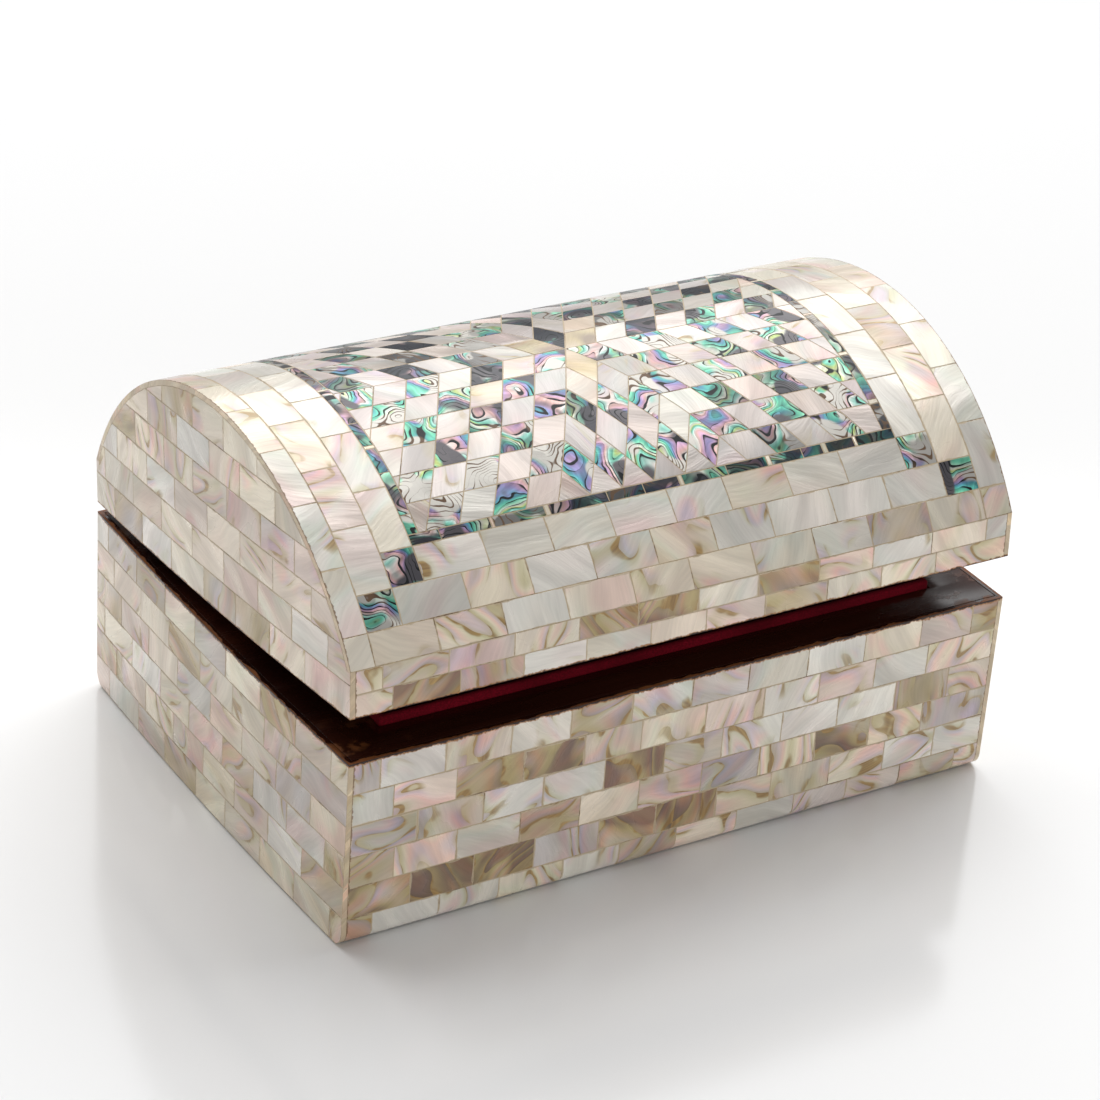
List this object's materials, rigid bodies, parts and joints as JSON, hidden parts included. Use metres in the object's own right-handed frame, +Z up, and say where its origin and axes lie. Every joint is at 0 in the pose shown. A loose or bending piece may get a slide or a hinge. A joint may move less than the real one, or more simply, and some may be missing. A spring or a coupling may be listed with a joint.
{
  "type": "domed jewellery chest",
  "caption": "Hollow wooden chest with a hinged barrel lid, covered in mother-of-pearl and abalone mosaic and lined with red velvet.",
  "frame": {"origin": "middle of the base's flat underside, on the surface the chest stands on", "axes": "+X along the length to the right of the front, +Y from the front to the hinged back, +Z up"},
  "size_m": [0.223, 0.1627, 0.1304],
  "materials": {
    "lacquered_wood": "dark brown gloss lacquer, worn to orange-brown at the edges",
    "mother_of_pearl": "polished mother-of-pearl tiles with thin tan joints",
    "pearl_and_abalone": "polished mother-of-pearl and abalone tiles with thin tan joints",
    "red_velvet": "crimson velvet glued on card",
    "brass": "plain aged brass"
  },
  "bodies": {
    "base": {"base_carcass": "lacquered_wood", "base_front_mosaic": "mother_of_pearl", "base_back_mosaic": "mother_of_pearl", "base_left_mosaic": "mother_of_pearl", "base_right_mosaic": "mother_of_pearl", "base_velvet_lining": "red_velvet", "left_hinge_base_leaf": "brass", "left_hinge_pin": "brass", "left_hinge_outer_screw_base": "brass", "left_hinge_inner_screw_base": "brass", "right_hinge_base_leaf": "brass", "right_hinge_pin": "brass", "right_hinge_outer_screw_base": "brass", "right_hinge_inner_screw_base": "brass"},
    "lid": {"lid_carcass": "lacquered_wood", "lid_dome_mosaic": "pearl_and_abalone", "lid_front_mosaic": "mother_of_pearl", "lid_back_mosaic": "mother_of_pearl", "lid_left_mosaic": "mother_of_pearl", "lid_right_mosaic": "mother_of_pearl", "lid_velvet_lining": "red_velvet", "left_hinge_lid_leaf": "brass", "left_hinge_outer_screw_lid": "brass", "left_hinge_inner_screw_lid": "brass", "right_hinge_lid_leaf": "brass", "right_hinge_outer_screw_lid": "brass", "right_hinge_inner_screw_lid": "brass"}
  },
  "joints": [
    {"name": "lid_hinge", "type": "hinge", "parent": "base", "child": "lid", "pos_m": [0, 0.0815, 0.061], "axis": [-1, 0, 0], "range_deg": [-4.65, 95]}
  ]
}
